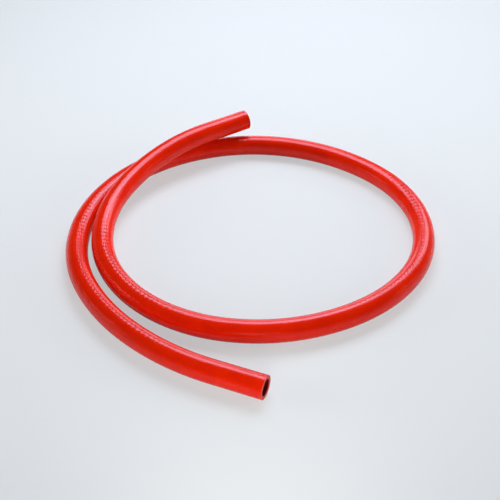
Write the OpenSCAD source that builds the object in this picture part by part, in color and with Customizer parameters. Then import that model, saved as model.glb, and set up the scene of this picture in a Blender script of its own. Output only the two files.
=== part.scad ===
// Rubber gas tubing: one length of plain round tube, lying in an open loop of
// about one and a half turns. Both ends are cut square. The first turn lies flat.
// The later turn comes round inside it, leans on it, climbs over it, and its end
// stays up at that height.
// The tube lies on Z = 0, with the middle of its width and depth at the origin.

/* [Tube] */
// Bore of the tube, which grips a gas tap or a burner's spigot
bore_d = 10; // [6:0.5:13]
// Thickness of the rubber wall
wall = 2; // [1:0.1:3]
// Straight length at each end, which takes the spigot
end_straight = 30; // [10:1:40]

/* [Lay] */
// Radius of the loop, to the middle of the tube
loop_r = 103; // [85:1:140]
// Least air between two turns where one lies on the other
turn_gap = 0.4; // [0.3:0.1:2]

/* [Hidden] */
$fn = 64;

// The tube is bent up in metres, and the finished tubing is scaled to millimetres
mm = 0.001;
od = (bore_d + 2 * wall) * mm;
bore = bore_d * mm;
pitch = od + turn_gap * mm;   // from the middle of one turn to the next, where they touch
least_run = 0.01 * mm;        // a straight run shorter than this is left out

// The corners of the route, in order from the end that lies in front. Each is one
// angle step further round the loop, clockwise as seen from above. Fifteen steps
// are a full turn, so row 15 comes back round to the place of row 0.
first_angle = 269;
angle_step = -24;
// Each row: how far the corner strays outside the loop, in mm, then how far it
// moves out beside the later turn and how far it lifts, both in pitches.
ROUTE = [
    [20, 1.5, 0],
    [10, 1.5, 0],
    [6, 1.4, 0],
    [6.5, 1.2, 0],
    [4, 1, 0],
    [-0.5, 0.85, 0],
    [-2, 0.5, 0],
    [-3, 0.25, 0],
    [-2.5, 0, 0],
    [-3.5, 0, 0],
    [-1, 0, 0],
    [1, 0, 0],
    [1.5, 0, 0],
    [-0.5, 0, 0],
    [-2, 0, 0],
    [-0.5, 0, 0],
    [3, 0, 0],
    [6, 0, 0.05],
    [6.5, 0, 0.1],
    [3.5, 0, 0.3],
    [-0.5, 0, 0.6],
    [-1.5, 0, 1],
    [4.5, 0, 1.1]
];

function corner(i) =
    let (row = ROUTE[i],
         angle = first_angle + angle_step * i,
         r = (loop_r + row[0]) * mm + row[1] * pitch)
    [r * cos(angle), r * sin(angle), od / 2 + row[2] * pitch];

function unit(v) = v / norm(v);

last = len(ROUTE) - 1;
corners = [for (i = [0 : last]) corner(i)];

// The legs join the corners. A bend rounds off each corner between two legs, as
// wide as it can, so bend n curls from leg n to leg n + 1 at corner n + 1.
bends = last - 1;
legs = [for (n = [0 : bends]) norm(corners[n + 1] - corners[n])];
headings = [for (n = [0 : bends]) unit(corners[n + 1] - corners[n])];
turns = [for (n = [0 : bends - 1]) acos(headings[n] * headings[n + 1])];
cuts = [for (n = [0 : bends - 1]) min(legs[n], legs[n + 1]) / 2];
radii = [for (n = [0 : bends - 1]) cuts[n] / tan(turns[n] / 2)];

// The way each bend curls, square to the leg before it
inwards = [for (n = [0 : bends - 1]) unit(headings[n + 1] - headings[n] * cos(turns[n]))];

// The straight ends run on from the middles of the first and last legs
tail = end_straight * mm;
start = (corners[0] + corners[1]) / 2 - headings[0] * tail;
finish = (corners[last - 1] + corners[last]) / 2 + headings[bends] * tail;

// What is left of each leg, between the bends at its two ends
function run(n) =
    legs[n]
    - (n > 0 ? cuts[n - 1] : legs[0] / 2 - tail)
    - (n < bends ? cuts[n] : legs[bends] / 2 - tail);
runs = [for (n = [0 : bends]) run(n) > least_run ? run(n) : 0];

// How far the plane of bend n is rolled about leg n from the plane of the bend before
function roll(n) =
    let (level = unit(inwards[n - 1] - headings[n] * (headings[n] * inwards[n - 1])),
         side = cross(headings[n], level))
    atan2(inwards[n] * side, inwards[n] * level);

// Points of the middle line, to find how wide and deep the lay is
function bend_point(n, share) =
    let (swept = turns[n] * share)
    corners[n + 1] - headings[n] * cuts[n]
    + radii[n] * (sin(swept) * headings[n] + (1 - cos(swept)) * inwards[n]);
middle_line = concat(
    [start],
    [for (n = [0 : bends - 1], share = [0 : 0.125 : 1]) bend_point(n, share)],
    [finish]
);
function middle(axis) =
    let (places = [for (p = middle_line) p[axis]])
    (min(places) + max(places)) / 2;

module section() {
    difference() {
        circle(d = od);
        circle(d = bore);
    }
}

// A straight run along +Y
module straight(length) {
    rotate([-90, 0, 0])
        linear_extrude(height = length)
            section();
}

// A bend that starts along +Y and curls towards -X. It is turned half a diameter
// too far, then trimmed square through its own centre, so that what comes next
// meets it face to face.
module bend(n) {
    overrun = od / 2 / radii[n] * 180 / PI;
    translate([-radii[n], 0, 0])
        difference() {
            rotate_extrude(angle = turns[n] + overrun)
                translate([radii[n], 0])
                    section();
            rotate([0, 0, turns[n]])
                translate([0, 0, -od])
                    cube([radii[n] + od, 2 * od, 2 * od]);
        }
}

// Takes what comes next from the start of bend n to its end
module after_bend(n) {
    translate([-radii[n], 0, 0])
        rotate([0, 0, turns[n]])
            translate([radii[n], 0, 0])
                children();
}

// Leg n and all that comes after it, as a tube bender would make them: a straight
// run, a roll to the plane of the next bend, the bend, and then the next leg
module lay(n) {
    if (runs[n] > 0)
        straight(runs[n]);
    if (n < bends)
        translate([0, runs[n], 0])
            rotate([0, n > 0 ? roll(n) : 0, 0]) {
                bend(n);
                after_bend(n)
                    lay(n + 1);
            }
}

// Turns +Y along the first leg and -X the way that the first bend curls
module at_start() {
    x = -inwards[0];
    y = headings[0];
    z = cross(x, y);
    multmatrix([
        [x[0], y[0], z[0], start[0]],
        [x[1], y[1], z[1], start[1]],
        [x[2], y[2], z[2], start[2]],
        [0, 0, 0, 1]
    ])
        children();
}

module tubing() {
    color("firebrick")
        scale(1 / mm)
            translate([-middle(0), -middle(1), 0])
                at_start()
                    lay(0);
}

tubing();
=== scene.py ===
from math import cos, pi, radians, sin, tan

import bpy
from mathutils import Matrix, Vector


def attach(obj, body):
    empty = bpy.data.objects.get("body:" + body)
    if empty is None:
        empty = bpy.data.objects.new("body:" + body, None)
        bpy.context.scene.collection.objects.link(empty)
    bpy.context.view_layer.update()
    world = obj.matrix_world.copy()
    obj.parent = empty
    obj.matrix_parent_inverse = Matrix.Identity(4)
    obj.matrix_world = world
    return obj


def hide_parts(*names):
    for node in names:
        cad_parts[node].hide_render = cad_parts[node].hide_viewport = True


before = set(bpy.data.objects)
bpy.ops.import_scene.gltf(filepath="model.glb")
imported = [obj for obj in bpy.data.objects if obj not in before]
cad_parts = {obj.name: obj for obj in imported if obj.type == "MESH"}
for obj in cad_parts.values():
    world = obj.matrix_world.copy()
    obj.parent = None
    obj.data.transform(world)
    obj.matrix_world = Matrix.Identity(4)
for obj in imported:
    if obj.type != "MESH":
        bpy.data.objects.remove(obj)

# Rubber gas tubing: one length of red tube with a cloth finish, lying in an open
# loop of about one and a half turns. Everything is in metres, in the CAD frame.

MM = 0.001

# Places closer together than this count as one
TOLERANCE = 0.01 * MM

# The tube
BORE = 10 * MM
WALL = 2 * MM
OUTSIDE = BORE + 2 * WALL
END_STRAIGHT = 30 * MM
CUT_EDGE_RADIUS = 0.3 * MM
CUT_EDGE_STEPS = 3

# The cloth finish: each thread of the wrapping cloth leaves a rib across the tube,
# which is divided into stitches
RIB_PITCH = 3.6 * MM
RIB_DEPTH = 0.042 * MM
STITCHES_AROUND = round(pi * OUTSIDE / RIB_PITCH)

# How finely the tube is drawn: the rings of points along it, and the points in a ring
RINGS_PER_RIB = 7
BORE_RING_SPACING = 5 * MM
SIDES = 36

# The lay, as in the CAD source: how far each corner of the route strays outside the
# loop in mm, then how far it moves out beside the later turn and lifts, in pitches
LOOP_RADIUS = 103 * MM
TURN_GAP = 0.4 * MM
PITCH = OUTSIDE + TURN_GAP
FIRST_ANGLE = 269
ANGLE_STEP = -24
ROUTE = [
    (20, 1.5, 0),
    (10, 1.5, 0),
    (6, 1.4, 0),
    (6.5, 1.2, 0),
    (4, 1, 0),
    (-0.5, 0.85, 0),
    (-2, 0.5, 0),
    (-3, 0.25, 0),
    (-2.5, 0, 0),
    (-3.5, 0, 0),
    (-1, 0, 0),
    (1, 0, 0),
    (1.5, 0, 0),
    (-0.5, 0, 0),
    (-2, 0, 0),
    (-0.5, 0, 0),
    (3, 0, 0),
    (6, 0, 0.05),
    (6.5, 0, 0.1),
    (3.5, 0, 0.3),
    (-0.5, 0, 0.6),
    (-1.5, 0, 1),
    (4.5, 0, 1.1),
]

# Steps round each bend: as few as the CAD source finds the middle of the lay from, and
# as many as the tube is drawn with
STEPS_TO_CENTRE = 8
STEPS_TO_DRAW = 48


def added(name, data):
    """A new object, put in the scene."""
    thing = bpy.data.objects.new(name, data)
    bpy.context.scene.collection.objects.link(thing)
    return thing


# The camera: its elevation in degrees and its lens in millimetres

VIEW_ELEVATION = 38
VIEW_DISTANCE = 0.613
VIEW_AIM = Vector((-0.00102, -0.00736, 0.007))
LENS = 69.7


def make_camera():
    data = bpy.data.cameras.new("camera")
    data.lens = LENS
    camera = added("camera", data)
    up = radians(VIEW_ELEVATION)
    back = Vector((0, -cos(up), sin(up)))
    camera.location = VIEW_AIM + back * VIEW_DISTANCE
    camera.rotation_euler = back.to_track_quat("Z", "Y").to_euler()
    bpy.context.scene.camera = camera


# The route of the tube's middle line

def corner(number):
    stray, side, lift = ROUTE[number]
    angle = radians(FIRST_ANGLE + ANGLE_STEP * number)
    radius = LOOP_RADIUS + stray * MM + side * PITCH
    return Vector((radius * cos(angle), radius * sin(angle), OUTSIDE / 2 + lift * PITCH))


def bend_points(before, at, after, steps):
    """Points round the bend at one corner, which is as wide as its two legs allow."""
    heading = (at - before).normalized()
    next_heading = (after - at).normalized()
    turn = heading.angle(next_heading)
    cut = min((at - before).length, (after - at).length) / 2
    radius = cut / tan(turn / 2)
    inwards = (next_heading - heading * cos(turn)).normalized()
    first = at - heading * cut
    return [
        first + radius * (sin(turn * k / steps) * heading + (1 - cos(turn * k / steps)) * inwards)
        for k in range(steps + 1)
    ]


def middle_line(steps):
    """The route from the front end to the back end, before it is centred."""
    corners = [corner(n) for n in range(len(ROUTE))]
    first, second = corners[:2]
    before_last, last = corners[-2:]
    points = [(first + second) / 2 - (second - first).normalized() * END_STRAIGHT]
    for before, at, after in zip(corners, corners[1:], corners[2:]):
        points += bend_points(before, at, after, steps)
    points.append((before_last + last) / 2 + (last - before_last).normalized() * END_STRAIGHT)
    apart = [points[0]]
    for point in points[1:]:
        if (point - apart[-1]).length > TOLERANCE:
            apart.append(point)
    return apart


def route_points():
    """The route in the CAD frame, with the middle of its width and depth at the origin."""
    rough = middle_line(STEPS_TO_CENTRE)
    centre = Vector((
        (min(p.x for p in rough) + max(p.x for p in rough)) / 2,
        (min(p.y for p in rough) + max(p.y for p in rough)) / 2,
        0,
    ))
    return [p - centre for p in middle_line(STEPS_TO_DRAW)]


def route_curve(points):
    data = bpy.data.curves.new("route", "CURVE")
    data.dimensions = "3D"
    spline = data.splines.new("POLY")
    spline.points.add(len(points) - 1)
    for spot, point in zip(spline.points, points):
        spot.co = (*point, 1)
    return added("route", data)


# Building node trees

def place(tree, kind, inputs=None, **settings):
    """Adds a node. inputs maps a socket's name or number to a value or to the socket
    that feeds it."""
    node = tree.nodes.new(kind)
    for name, value in settings.items():
        setattr(node, name, value)
    for key, value in (inputs or {}).items():
        feed(tree, node.inputs[key], value)
    return node


def feed(tree, socket, value):
    if isinstance(value, bpy.types.NodeSocket):
        tree.links.new(value, socket)
    else:
        socket.default_value = value


def calculate(tree, operation, *values):
    """A Math node's result."""
    node = place(tree, "ShaderNodeMath", dict(enumerate(values)), operation=operation)
    return node.outputs[0]


def vectors(tree, operation, *values):
    """A Vector Math node's result, for the operations that give a vector."""
    node = place(tree, "ShaderNodeVectorMath", dict(enumerate(values)), operation=operation)
    return node.outputs["Vector"]


def scaled(tree, vector, scale):
    node = place(tree, "ShaderNodeVectorMath", {0: vector, "Scale": scale}, operation="SCALE")
    return node.outputs["Vector"]


def parts_of(tree, vector):
    return place(tree, "ShaderNodeSeparateXYZ", {0: vector}).outputs


def vector_from(tree, x, y, z):
    return place(tree, "ShaderNodeCombineXYZ", {0: x, 1: y, 2: z}).outputs[0]


def captured(tree, geometry, value, name):
    """Keeps a vector with each point of a curve, so that the swept mesh still has it."""
    node = place(tree, "GeometryNodeCaptureAttribute", domain="POINT")
    node.capture_items.new("VECTOR", name)
    tree.links.new(geometry, node.inputs["Geometry"])
    tree.links.new(value, node.inputs[name])
    return node.outputs["Geometry"], node.outputs[name]


# The tube's shape

SHAPE_INPUTS = [
    ("Outside Diameter", "NodeSocketFloat", OUTSIDE),
    ("Bore Diameter", "NodeSocketFloat", BORE),
    ("Cut Edge Radius", "NodeSocketFloat", CUT_EDGE_RADIUS),
    ("Rib Pitch", "NodeSocketFloat", RIB_PITCH),
    ("Rib Depth", "NodeSocketFloat", RIB_DEPTH),
    ("Rings per Rib", "NodeSocketInt", RINGS_PER_RIB),
    ("Bore Ring Spacing", "NodeSocketFloat", BORE_RING_SPACING),
    ("Sides", "NodeSocketInt", SIDES),
]
MATERIAL_INPUTS = ["Outside Material", "Cut Material", "Bore Material"]


def wall_outline(tree, size, length, mid_wall):
    """The wall cut along the tube, as a closed curve with rounded corners: X is the
    distance from the middle line and Y the distance along it."""
    thickness = calculate(tree, "DIVIDE",
                          calculate(tree, "SUBTRACT", size["Outside Diameter"],
                                    size["Bore Diameter"]), 2)
    box = place(tree, "GeometryNodeCurvePrimitiveQuadrilateral", {
        "Width": thickness,
        "Height": length,
    })
    moved = place(tree, "GeometryNodeSetPosition", {
        "Geometry": box.outputs[0],
        "Offset": vector_from(tree, mid_wall, calculate(tree, "DIVIDE", length, 2), 0),
    })
    rounded = place(tree, "GeometryNodeFilletCurve", {
        "Curve": moved.outputs[0],
        "Radius": size["Cut Edge Radius"],
        "Count": CUT_EDGE_STEPS,
    }, mode="POLY")
    return rounded.outputs[0]


def divided(tree, outline, size, mid_wall):
    """Divides the outline's long sides, finely outside for the ribs and coarsely in the
    bore."""
    here = place(tree, "GeometryNodeInputPosition").outputs[0]
    following = place(tree, "GeometryNodeOffsetPointInCurve", {"Offset": 1})
    there = place(tree, "GeometryNodeFieldAtIndex", {
        "Value": here,
        "Index": following.outputs["Point Index"],
    }, data_type="FLOAT_VECTOR").outputs[0]
    side = place(tree, "ShaderNodeVectorMath", {0: here, 1: there}, operation="DISTANCE")
    halfway = scaled(tree, vectors(tree, "ADD", here, there), 0.5)
    outside = calculate(tree, "GREATER_THAN", parts_of(tree, halfway)[0],
                        calculate(tree, "ADD", mid_wall, TOLERANCE))
    rib_step = calculate(tree, "DIVIDE", size["Rib Pitch"], size["Rings per Rib"])
    step = calculate(tree, "ADD",
                     calculate(tree, "MULTIPLY", outside, rib_step),
                     calculate(tree, "MULTIPLY", calculate(tree, "SUBTRACT", 1, outside),
                               size["Bore Ring Spacing"]))
    cuts = calculate(tree, "FLOOR", calculate(tree, "DIVIDE", side.outputs["Value"], step))
    return place(tree, "GeometryNodeSubdivideCurve", {"Curve": outline, "Cuts": cuts}).outputs[0]


def ribbed(tree, size, from_middle, along):
    """The distance from the middle line, less the grooves between the ribs outside."""
    outer = calculate(tree, "DIVIDE", size["Outside Diameter"], 2)
    on_skin = calculate(tree, "GREATER_THAN", from_middle,
                        calculate(tree, "SUBTRACT", outer, TOLERANCE))
    ribs = calculate(tree, "DIVIDE", along, size["Rib Pitch"])
    wave = calculate(tree, "COSINE", calculate(tree, "MULTIPLY", ribs, 2 * pi))
    groove = calculate(tree, "MULTIPLY", calculate(tree, "SUBTRACT", 1, wave), 0.5)
    sunk = calculate(tree, "MULTIPLY", calculate(tree, "MULTIPLY", groove, on_skin),
                     size["Rib Depth"])
    return calculate(tree, "SUBTRACT", from_middle, sunk)


def bent(tree, tube, route, along, spoke, reach):
    """Moves each point to its place round the route: reach is how far out it goes, along
    the spoke of its ring."""
    level = place(tree, "GeometryNodeSetCurveNormal", {0: route}, mode="Z_UP")
    at = place(tree, "GeometryNodeSampleCurve", {
        "Curves": level.outputs[0],
        "Length": along,
    }, mode="LENGTH", use_all_curves=True).outputs
    sideways = at["Normal"]
    upward = vectors(tree, "CROSS_PRODUCT", at["Tangent"], at["Normal"])
    spoke_x, spoke_y, _ = parts_of(tree, spoke)
    across = vectors(tree, "ADD", scaled(tree, sideways, spoke_x), scaled(tree, upward, spoke_y))
    return place(tree, "GeometryNodeSetPosition", {
        "Geometry": tube,
        "Position": vectors(tree, "ADD", at["Position"], scaled(tree, across, reach)),
    }).outputs[0]


def with_unrolled(tree, tube, spoke, from_middle, along):
    """Stores where each point would be on the tube laid straight, for the finishes to
    follow."""
    spoke_x, spoke_y, _ = parts_of(tree, spoke)
    return place(tree, "GeometryNodeStoreNamedAttribute", {
        "Geometry": tube,
        "Name": "unrolled",
        "Value": vector_from(tree, calculate(tree, "MULTIPLY", spoke_x, from_middle),
                             calculate(tree, "MULTIPLY", spoke_y, from_middle), along),
    }, data_type="FLOAT_VECTOR", domain="POINT").outputs[0]


def with_materials(tree, tube, given, length, along, in_bore):
    """Sets the outside's material all over, and then those of the cuts and the bore."""
    half = calculate(tree, "DIVIDE", length, 2)
    from_half = calculate(tree, "ABSOLUTE", calculate(tree, "SUBTRACT", along, half))
    at_cut = calculate(tree, "GREATER_THAN", from_half,
                       calculate(tree, "SUBTRACT", half, given["Cut Edge Radius"]))
    inside = calculate(tree, "MULTIPLY", in_bore, calculate(tree, "SUBTRACT", 1, at_cut))
    for name, where in zip(MATERIAL_INPUTS, (True, at_cut, inside)):
        tube = place(tree, "GeometryNodeSetMaterial", {
            "Geometry": tube,
            "Selection": where,
            "Material": given[name],
        }).outputs[0]
    return tube


def tube_tree():
    """The wall's outline swept round in a ring, and bent along the route."""
    tree = bpy.data.node_groups.new("Tube along a route", "GeometryNodeTree")
    face = tree.interface
    face.new_socket("Geometry", in_out="OUTPUT", socket_type="NodeSocketGeometry")
    face.new_socket("Geometry", in_out="INPUT", socket_type="NodeSocketGeometry")
    for name, kind, value in SHAPE_INPUTS:
        face.new_socket(name, in_out="INPUT", socket_type=kind).default_value = value
    for name in MATERIAL_INPUTS:
        face.new_socket(name, in_out="INPUT", socket_type="NodeSocketMaterial")
    given = place(tree, "NodeGroupInput").outputs
    route = given["Geometry"]
    length = place(tree, "GeometryNodeCurveLength", {0: route}).outputs[0]
    mid_wall = calculate(tree, "DIVIDE",
                         calculate(tree, "ADD", given["Outside Diameter"],
                                   given["Bore Diameter"]), 4)

    spot = place(tree, "GeometryNodeInputPosition").outputs[0]
    outline = divided(tree, wall_outline(tree, given, length, mid_wall), given, mid_wall)
    outline, wall_place = captured(tree, outline, spot, "wall place")
    circle = place(tree, "GeometryNodeCurvePrimitiveCircle", {"Resolution": given["Sides"]})
    ring, spoke = captured(tree, circle.outputs[0], spot, "spoke")
    swept = place(tree, "GeometryNodeCurveToMesh", {"Curve": outline, "Profile Curve": ring})

    from_middle, along, _ = parts_of(tree, wall_place)
    reach = ribbed(tree, given, from_middle, along)
    tube = bent(tree, swept.outputs[0], route, along, spoke, reach)
    tube = with_unrolled(tree, tube, spoke, from_middle, along)
    smooth = place(tree, "GeometryNodeSetShadeSmooth", {"Geometry": tube})
    whole = place(tree, "GeometryNodeRealizeInstances", {0: smooth.outputs[0]})
    in_bore = calculate(tree, "LESS_THAN", from_middle, mid_wall)
    tube = with_materials(tree, whole.outputs[0], given, length, along, in_bore)
    place(tree, "NodeGroupOutput", {"Geometry": tube})
    return tree


def make_tube(materials, points):
    route = route_curve(points)
    modifier = route.modifiers.new("tube", "NODES")
    modifier.node_group = tube_tree()
    sockets = {
        item.name: item.identifier
        for item in modifier.node_group.interface.items_tree
        if item.in_out == "INPUT"
    }
    for name, _, value in SHAPE_INPUTS:
        modifier[sockets[name]] = value
    for name, material in zip(MATERIAL_INPUTS, materials):
        modifier[sockets[name]] = material
    evaluated = route.evaluated_get(bpy.context.evaluated_depsgraph_get())
    mesh = bpy.data.meshes.new_from_object(evaluated)
    bpy.data.objects.remove(route)
    return added("gas-tubing", mesh)


# The finishes. Where a colour or a roughness is a pair, noise takes it from the first to
# the second. A bump's height is in metres, and lines are to the metre.

NOISE_LOW = 0.3
NOISE_HIGH = 0.7

STITCH_SHARE = 0.12
STITCH_GROOVE = 0.2
PRINT_HEIGHT = 0.024 * MM

SKIN_COLOURS = ((0.75, 0.013, 0.0003, 1), (0.85, 0.019, 0.0006, 1))
SKIN_ROUGHNESS = (0.17, 0.24)
SKIN_SPECULAR = 0.36
SKIN_SPECULAR_TINT = (1, 0.7, 0.8, 1)
SKIN_GRAIN_HEIGHT = 0.02 * MM
# Painted shade: the grooves of the print are darkened a small share of the way towards this deep
# red
GROOVE_SHADE_COLOUR = (0.25, 0.001, 0.0002, 1)
GROOVE_SHADE_SHARE = 0.02

CUT_COLOURS = ((0.55, 0.04, 0.03, 1), (0.68, 0.1, 0.08, 1))
CUT_ROUGHNESS = (0.6, 0.8)
CUT_SPECULAR = 0.3
CUT_GRAIN_HEIGHT = 0.05 * MM
KNIFE_LINES = 400
KNIFE_LINE_HEIGHT = 0.03 * MM

# Painted shade: the bore's colours are near black, standing for the dark inside the tube
BORE_SHADE_COLOURS = ((0.05, 0.0015, 0.0015, 1), (0.08, 0.002, 0.002, 1))
BORE_ROUGHNESS = (0.42, 0.55)
BORE_SPECULAR = 0.3
MANDREL_LINES = 1500
MANDREL_LINE_STRETCH = (1, 1, 0.05)
MANDREL_LINE_HEIGHT = 0.03 * MM

# The Mix node's sockets for colours, among those of the same names for other data
MIX_FIRST = 6
MIX_SECOND = 7
MIX_RESULT = 2


def new_group(name, inputs, outputs):
    """A shader node group. inputs are (name, kind, value) and outputs (name, kind)."""
    tree = bpy.data.node_groups.new(name, "ShaderNodeTree")
    for label, kind, value in inputs:
        socket = tree.interface.new_socket(label, in_out="INPUT", socket_type=kind)
        if value is not None:
            socket.default_value = value
    for label, kind in outputs:
        tree.interface.new_socket(label, in_out="OUTPUT", socket_type=kind)
    return tree, place(tree, "NodeGroupInput").outputs, place(tree, "NodeGroupOutput").inputs


def cloth_print():
    """The print of the wrapping cloth: ribs across the tube with sharp grooves between
    them, each divided into stitches that sit over the gaps of the ribs beside it."""
    tree, given, result = new_group("cloth print", [
        ("Unrolled", "NodeSocketVector", None),
        ("Rib Pitch", "NodeSocketFloat", RIB_PITCH),
        ("Stitches Around", "NodeSocketFloat", STITCHES_AROUND),
    ], [("Height", "NodeSocketFloat"), ("Groove", "NodeSocketFloat")])
    x, y, along = parts_of(tree, given["Unrolled"])
    ribs = calculate(tree, "DIVIDE", along, given["Rib Pitch"])
    rib = calculate(tree, "ABSOLUTE",
                    calculate(tree, "COSINE", calculate(tree, "MULTIPLY", ribs, pi)))
    every_other = calculate(tree, "FLOORED_MODULO", calculate(tree, "ROUND", ribs), 2)
    stitches = calculate(tree, "MULTIPLY", calculate(tree, "ARCTAN2", y, x),
                         calculate(tree, "DIVIDE", given["Stitches Around"], 2))
    shifted = calculate(tree, "MULTIPLY_ADD", every_other, pi / 2, stitches)
    stitch = calculate(tree, "ABSOLUTE", calculate(tree, "COSINE", shifted))
    relief = calculate(tree, "MULTIPLY_ADD", stitch, STITCH_SHARE, 1 - STITCH_SHARE)
    between_ribs = calculate(tree, "POWER", calculate(tree, "SUBTRACT", 1, rib), 2)
    between_stitches = calculate(tree, "POWER", calculate(tree, "SUBTRACT", 1, stitch), 2)
    feed(tree, result["Height"], calculate(tree, "MULTIPLY", rib, relief))
    feed(tree, result["Groove"],
         calculate(tree, "MAXIMUM", between_ribs,
                   calculate(tree, "MULTIPLY", between_stitches, STITCH_GROOVE)))
    return tree


def rubber_tone():
    """Cloudy patches and fine grain, as two masks from 0 to 1."""
    tree, given, result = new_group("rubber tone", [
        ("Unrolled", "NodeSocketVector", None),
        ("Patch Size", "NodeSocketFloat", 12 * MM),
        ("Grain Size", "NodeSocketFloat", 0.5 * MM),
    ], [("Patches", "NodeSocketFloat"), ("Grain", "NodeSocketFloat")])
    for name, size, detail in (("Patches", "Patch Size", 3), ("Grain", "Grain Size", 2)):
        noise = place(tree, "ShaderNodeTexNoise", {
            "Vector": given["Unrolled"],
            "Scale": calculate(tree, "DIVIDE", 1, given[size]),
            "Detail": detail,
        })
        feed(tree, result[name], noise.outputs["Fac"])
    return tree


def new_material(name):
    material = bpy.data.materials.new(name)
    material.use_nodes = True
    tree = material.node_tree
    shader = tree.nodes["Principled BSDF"]
    return material, tree, shader


def unrolled(tree):
    return place(tree, "ShaderNodeAttribute", attribute_name="unrolled").outputs["Vector"]


def grouped(tree, group, inputs):
    node = place(tree, "ShaderNodeGroup", node_tree=group)
    for name, value in inputs.items():
        feed(tree, node.inputs[name], value)
    return node.outputs


def blended(tree, share, first, second):
    node = place(tree, "ShaderNodeMix", data_type="RGBA")
    feed(tree, node.inputs["Factor"], share)
    feed(tree, node.inputs[MIX_FIRST], first)
    feed(tree, node.inputs[MIX_SECOND], second)
    return node.outputs[MIX_RESULT]


def spread(tree, noise, low, high):
    """Noise taken from the range that it mostly fills to the range low to high."""
    node = place(tree, "ShaderNodeMapRange", {
        "Value": noise,
        "From Min": NOISE_LOW,
        "From Max": NOISE_HIGH,
        "To Min": low,
        "To Max": high,
    })
    return node.outputs[0]


def bumped(tree, height, distance, normal=None):
    node = place(tree, "ShaderNodeBump", {"Height": height, "Distance": distance, "Strength": 1})
    if normal is not None:
        feed(tree, node.inputs["Normal"], normal)
    return node.outputs[0]


def red_rubber(print_group, tone_group):
    """The outside: glossy red rubber with the print of the cloth, and painted shade that
    darkens its grooves a little."""
    material, tree, shader = new_material("red rubber with cloth print")
    where = unrolled(tree)
    tone = grouped(tree, tone_group, {"Unrolled": where})
    cloth = grouped(tree, print_group, {"Unrolled": where})
    red = blended(tree, spread(tree, tone["Patches"], 0, 1), *SKIN_COLOURS)
    # Painted shade: the base colour is darkened in the grooves of the print
    groove_shade = calculate(tree, "MULTIPLY", cloth["Groove"], GROOVE_SHADE_SHARE)
    feed(tree, shader.inputs["Base Color"], blended(tree, groove_shade, red, GROOVE_SHADE_COLOUR))
    feed(tree, shader.inputs["Roughness"], spread(tree, tone["Grain"], *SKIN_ROUGHNESS))
    shader.inputs["Specular IOR Level"].default_value = SKIN_SPECULAR
    shader.inputs["Specular Tint"].default_value = SKIN_SPECULAR_TINT
    grain = bumped(tree, tone["Grain"], SKIN_GRAIN_HEIGHT)
    feed(tree, shader.inputs["Normal"], bumped(tree, cloth["Height"], PRINT_HEIGHT, grain))
    return material


def cut_rubber(tone_group):
    """The cut ends: duller and paler, with the fine lines of the knife."""
    material, tree, shader = new_material("cut rubber")
    where = unrolled(tree)
    tone = grouped(tree, tone_group, {
        "Unrolled": where,
        "Patch Size": 3 * MM,
        "Grain Size": 0.25 * MM,
    })
    lines = place(tree, "ShaderNodeTexWave", {
        "Vector": where,
        "Scale": KNIFE_LINES,
        "Distortion": 2,
        "Detail": 2,
    }).outputs["Fac"]
    feed(tree, shader.inputs["Base Color"],
         blended(tree, spread(tree, tone["Grain"], 0, 1), *CUT_COLOURS))
    feed(tree, shader.inputs["Roughness"], spread(tree, tone["Patches"], *CUT_ROUGHNESS))
    shader.inputs["Specular IOR Level"].default_value = CUT_SPECULAR
    grain = bumped(tree, tone["Grain"], CUT_GRAIN_HEIGHT)
    feed(tree, shader.inputs["Normal"], bumped(tree, lines, KNIFE_LINE_HEIGHT, grain))
    return material


def bore_rubber(tone_group):
    """The bore: smooth, with faint lines along it from the mandrel, and near black as
    painted shade for the dark inside the tube.
    """
    material, tree, shader = new_material("bore rubber")
    where = unrolled(tree)
    tone = grouped(tree, tone_group, {"Unrolled": where, "Patch Size": 8 * MM})
    lines = place(tree, "ShaderNodeTexNoise", {
        "Vector": vectors(tree, "MULTIPLY", where, MANDREL_LINE_STRETCH),
        "Scale": MANDREL_LINES,
    }).outputs["Fac"]
    # Painted shade: the near-black base colour stands for the dark inside the tube
    feed(tree, shader.inputs["Base Color"],
         blended(tree, spread(tree, tone["Patches"], 0, 1), *BORE_SHADE_COLOURS))
    feed(tree, shader.inputs["Roughness"], spread(tree, tone["Grain"], *BORE_ROUGHNESS))
    shader.inputs["Specular IOR Level"].default_value = BORE_SPECULAR
    feed(tree, shader.inputs["Normal"], bumped(tree, lines, MANDREL_LINE_HEIGHT))
    return material


def make_materials():
    print_group, tone_group = cloth_print(), rubber_tone()
    return red_rubber(print_group, tone_group), cut_rubber(tone_group), bore_rubber(tone_group)


# The floor

FLOOR_COLOUR = (0.62, 0.65, 0.64, 1)
FLOOR_ROUGHNESS = 0.9
GLOW_COLOUR = (0.94, 0.97, 0.99, 1)

# How much of what the camera sees of the floor is glow, and how much of that glow is
# left in gloss
FLOOR_GLOW = 0.5
GLOW_IN_GLOSS = 0.5

FLOOR_SIDES = 96
WALL_AWAY = 10
WALL_HEIGHT = 3


def pale_material():
    """A matt material that looks paler still to the camera and in gloss, but keeps the
    shadows on it."""
    material, tree, shader = new_material("pale floor")
    shader.inputs["Base Color"].default_value = FLOOR_COLOUR
    shader.inputs["Roughness"].default_value = FLOOR_ROUGHNESS
    shader.inputs["Specular IOR Level"].default_value = 0
    glow = place(tree, "ShaderNodeEmission", {"Color": GLOW_COLOUR, "Strength": 1})
    rays = place(tree, "ShaderNodeLightPath").outputs
    mirrored = calculate(tree, "MAXIMUM", rays["Is Glossy Ray"], rays["Is Transmission Ray"])
    seen = calculate(tree, "MAXIMUM", rays["Is Camera Ray"],
                     calculate(tree, "MULTIPLY", mirrored, GLOW_IN_GLOSS))
    mix = place(tree, "ShaderNodeMixShader", {
        0: calculate(tree, "MULTIPLY", seen, FLOOR_GLOW),
        1: shader.outputs[0],
        2: glow.outputs[0],
    })
    feed(tree, tree.nodes["Material Output"].inputs["Surface"], mix.outputs[0])
    return material


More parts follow.
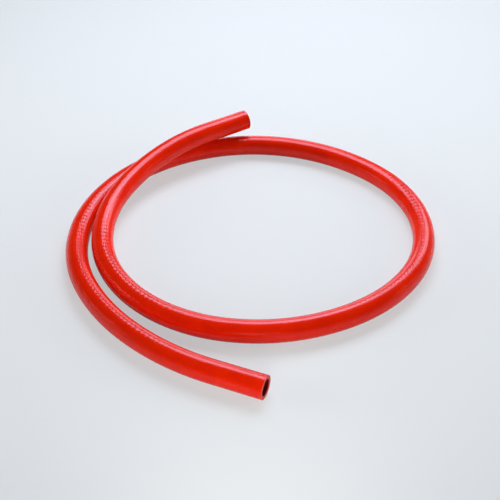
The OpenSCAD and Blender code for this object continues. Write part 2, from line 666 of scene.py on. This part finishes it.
def make_floor():
    """A pale floor with a low wall far round it."""
    material = pale_material()
    bpy.ops.mesh.primitive_circle_add(vertices=FLOOR_SIDES, radius=WALL_AWAY, fill_type="NGON")
    floor = bpy.context.object
    floor.name = "floor"
    bpy.ops.mesh.primitive_cylinder_add(
        vertices=FLOOR_SIDES,
        radius=WALL_AWAY,
        depth=WALL_HEIGHT,
        end_fill_type="NOTHING",
        location=(0, 0, WALL_HEIGHT / 2),
    )
    wall = bpy.context.object
    wall.name = "far wall"
    for piece in (floor, wall):
        piece.data.materials.append(material)


# The lights. Each lamp has its azimuth and elevation in degrees, its distance and size in
# metres, its power in watts and how wide it fans out, in degrees. The lamps behind show
# in the gloss, and the others don't.

KEY_LAMPS = {
    "key": (90, 56, 0.6, 0.33, 2.4, 180),
    "back right": (65, 50, 1.1, 0.4, 2.4, 180),
    "lower back right": (55, 32, 1.1, 0.4, 2.4, 180),
    "low back": (90, 15, 1.1, 0.4, 1.1, 180),
}
KEY_COLOUR = (0.92, 0.97, 1.15)
FILL_LAMPS = {
    "right": (0, 15, 1.1, 0.4, 0.63, 60),
    "left": (180, 15, 1.1, 0.4, 0.61, 60),
    "front": (270, 14, 0.32, 0.1, 0.085, 90),
}
FILL_COLOUR = (1, 0.97, 0.92)
WORLD_COLOUR = (0.8, 0.9, 1, 1)
WORLD_STRENGTH = 0.02


def make_lamp(name, azimuth, elevation, distance, size, power, fan, colour):
    data = bpy.data.lights.new(name, "AREA")
    data.spread = radians(fan)
    data.size = size
    data.energy = power
    data.color = colour
    lamp = added(name, data)
    turn, rise = radians(azimuth), radians(elevation)
    away = Vector((cos(rise) * cos(turn), cos(rise) * sin(turn), sin(rise)))
    lamp.location = away * distance
    lamp.rotation_euler = away.to_track_quat("Z", "Y").to_euler()
    return lamp


def make_lights():
    world = bpy.data.worlds.new("world")
    world.use_nodes = True
    background = world.node_tree.nodes["Background"]
    background.inputs["Color"].default_value = WORLD_COLOUR
    background.inputs["Strength"].default_value = WORLD_STRENGTH
    bpy.context.scene.world = world
    for name, facts in KEY_LAMPS.items():
        make_lamp(name, *facts, KEY_COLOUR)
    for name, facts in FILL_LAMPS.items():
        make_lamp(name, *facts, FILL_COLOUR).visible_glossy = False


def main():
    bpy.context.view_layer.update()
    bpy.context.scene.view_settings.view_transform = "Standard"
    make_camera()
    points = route_points()
    tube = make_tube(make_materials(), points)
    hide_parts("tubing")
    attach(tube, "root")
    make_floor()
    make_lights()


main()
